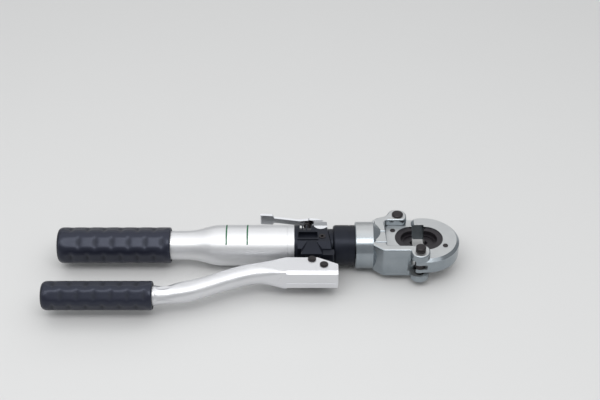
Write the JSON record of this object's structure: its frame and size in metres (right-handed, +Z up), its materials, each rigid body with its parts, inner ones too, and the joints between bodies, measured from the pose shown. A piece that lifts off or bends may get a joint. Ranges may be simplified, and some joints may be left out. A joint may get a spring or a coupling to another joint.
{
  "type": "hydraulic cable crimping tool",
  "caption": "Hand-pumped hydraulic crimping tool with a tapering oil tube, pumping handle, release lever and swivelling flip-open head that presses half dies onto a cable lug.",
  "frame": {"origin": "on the surface that the tool lies on, below the middle of its outline seen from above", "axes": "+X along the ram from the main grip to the crimping head, +Y from the ram axis towards the release lever, +Z up, normal to the plane in which the handle and the yoke swing"},
  "size_m": [0.4334, 0.142, 0.05],
  "materials": {
    "tube_aluminium": "satin",
    "handle_silver": "silver paint on a casting",
    "grip_rubber": "matt, ribbed by dents",
    "black_metal": "semi-gloss black",
    "head_steel": "plated, edges polished",
    "lever_chrome": "polished",
    "black_steel": "black oxide",
    "die_black": "black oxide, satin",
    "plain_steel": "ground",
    "brass": "turned",
    "seal_rubber": "matt"
  },
  "bodies": {
    "fixed_side": {"reservoir_tube": "tube_aluminium", "oil_bladder": "seal_rubber", "oil_strainer": "brass", "end_plug": "tube_aluminium", "filler_screw": "black_steel", "main_grip": "grip_rubber", "pump_block": "black_metal", "plunger_gland": "brass", "plunger_seal": "seal_rubber", "pivot_pin": "black_steel", "pivot_pin_clips": "black_steel", "valve_rings": "brass", "check_balls": "plain_steel", "check_springs": "plain_steel", "relief_ball": "plain_steel", "relief_spring": "plain_steel", "relief_screw": "black_steel", "ram_cylinder": "black_metal", "snap_ring": "plain_steel", "rod_gland": "brass", "lever_pin": "plain_steel", "release_spring": "black_steel", "return_spring": "plain_steel"},
    "lever": {"release_lever": "lever_chrome"},
    "valve_spool": {"release_pin": "black_steel"},
    "pump_plunger": {"plunger": "plain_steel"},
    "handle": {"moving_handle": "handle_silver", "handle_grip": "grip_rubber", "drive_pin": "black_steel", "drive_pin_clips": "black_steel"},
    "head": {"head_base": "head_steel", "rod_wiper": "seal_rubber", "hinge_pin": "black_steel", "hinge_pin_clips": "black_steel"},
    "lock": {"lock_pin": "black_steel"},
    "yoke_side": {"yoke": "head_steel", "fixed_die": "die_black", "yoke_die_ball": "plain_steel", "yoke_die_spring": "plain_steel"},
    "yoke_button": {"yoke_die_pin": "black_steel"},
    "ram": {"ram_piston": "plain_steel", "piston_seal": "seal_rubber", "ram_nose": "head_steel", "nose_pin": "plain_steel", "moving_die": "die_black", "ram_die_ball": "plain_steel", "ram_die_spring": "plain_steel"},
    "ram_button": {"ram_die_pin": "black_steel"}
  },
  "joints": [
    {"name": "handle_hinge", "type": "hinge", "parent": "fixed_side", "child": "handle", "pos_m": [0.07215, -0.02119, 0.025], "axis": [0, 0, 1], "range_deg": [0, 60]},
    {"name": "plunger_slide", "type": "slide", "parent": "fixed_side", "child": "pump_plunger", "axis": [0, 1, 0], "range_m": [-0.015, 0]},
    {"name": "lever_hinge", "type": "hinge", "parent": "fixed_side", "child": "lever", "pos_m": [0.06925, 0.03651, 0.025], "axis": [0, 0, 1], "range_deg": [0, 8], "stiffness_Nm_per_rad": 1.5, "springref_deg": -11.46},
    {"name": "release_pin_slide", "type": "slide", "parent": "fixed_side", "child": "valve_spool", "axis": [0, 1, 0], "range_m": [-0.0028, 0], "deforming": ["release_spring"]},
    {"name": "head_swivel", "type": "hinge", "parent": "fixed_side", "child": "head", "pos_m": [0.11425, 0.02451, 0.025], "axis": [1, 0, 0], "range_deg": [-90, 90]},
    {"name": "ram_slide", "type": "slide", "parent": "head", "child": "ram", "axis": [1, 0, 0], "range_m": [0, 0.0127], "stiffness_N_per_m": 3000, "springref_m": -0.01, "deforming": ["return_spring"]},
    {"name": "yoke_hinge", "type": "hinge", "parent": "head", "child": "yoke_side", "pos_m": [0.15225, 0.05391, 0.025], "axis": [0, 0, 1], "range_deg": [0, 100]},
    {"name": "lock_slide", "type": "slide", "parent": "head", "child": "lock", "axis": [0, 0, 1], "range_m": [-0.0056, 0]},
    {"name": "yoke_button_slide", "type": "slide", "parent": "yoke_side", "child": "yoke_button", "axis": [0, 0, 1], "range_m": [-0.0027, 0], "stiffness_N_per_m": 600, "springref_m": 0.002, "deforming": ["yoke_die_spring"]},
    {"name": "ram_button_slide", "type": "slide", "parent": "ram", "child": "ram_button", "axis": [0, 0, 1], "range_m": [-0.0027, 0], "stiffness_N_per_m": 600, "springref_m": 0.002, "deforming": ["ram_die_spring"]}
  ],
  "couplings": [
    {"joint": "plunger_slide", "follows": "handle_hinge", "m_per_rad": -0.0142},
    {"joint": "release_pin_slide", "follows": "lever_hinge", "m_per_rad": -0.0185}
  ]
}
